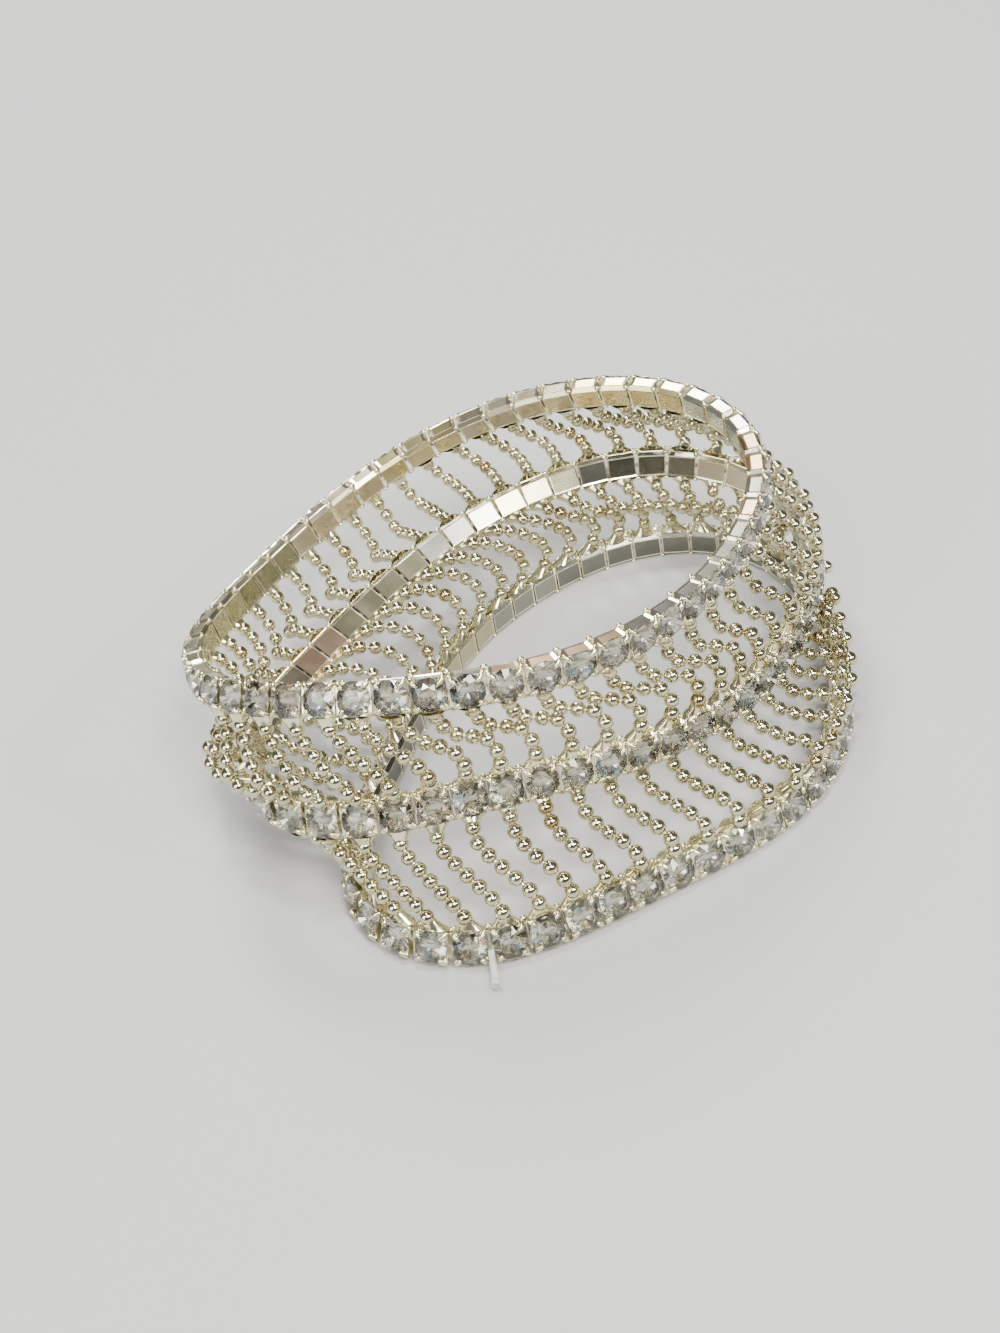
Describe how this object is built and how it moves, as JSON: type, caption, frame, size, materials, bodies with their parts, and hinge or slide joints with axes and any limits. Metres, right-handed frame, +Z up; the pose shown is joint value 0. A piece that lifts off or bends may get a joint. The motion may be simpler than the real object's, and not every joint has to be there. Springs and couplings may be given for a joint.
{
  "type": "rhinestone stretch bracelet",
  "caption": "Stretch bracelet of three elastic rings of square stone cups joined by beaded strands, lying on one ring.",
  "frame": {"origin": "on the surface it lies on, under the middle of its outline seen from above", "axes": "+Z up, +X along the longer way across the loop"},
  "size_m": [0.0768, 0.0717, 0.0252],
  "materials": {
    "metal": "polished, pale champagne silver; the stones in the cups are clear faceted glass",
    "elastic": "matt white elastic thread"
  },
  "bodies": {
    "root": {"column_01": "metal", "column_02": "metal", "column_03": "metal", "column_04": "metal", "column_05": "metal", "column_06": "metal", "column_07": "metal", "column_08": "metal", "column_09": "metal", "column_10": "metal", "column_11": "metal", "column_12": "metal", "column_13": "metal", "column_14": "metal", "column_15": "metal", "column_16": "metal", "column_17": "metal", "column_18": "metal", "column_19": "metal", "column_20": "metal", "column_21": "metal", "column_22": "metal", "column_23": "metal", "column_24": "metal", "column_25": "metal", "column_26": "metal", "column_27": "metal", "column_28": "metal", "column_29": "metal", "column_30": "metal", "column_31": "metal", "column_32": "metal", "column_33": "metal", "column_34": "metal", "column_35": "metal", "column_36": "metal", "column_37": "metal", "column_38": "metal", "column_39": "metal", "column_40": "metal", "column_41": "metal", "column_42": "metal", "column_43": "metal", "column_44": "metal", "column_45": "metal", "column_46": "metal", "column_47": "metal", "column_48": "metal", "column_49": "metal", "column_50": "metal", "elastic_top": "elastic", "elastic_middle": "elastic", "elastic_bottom": "elastic", "elastic_tail": "elastic"}
  },
  "joints": []
}
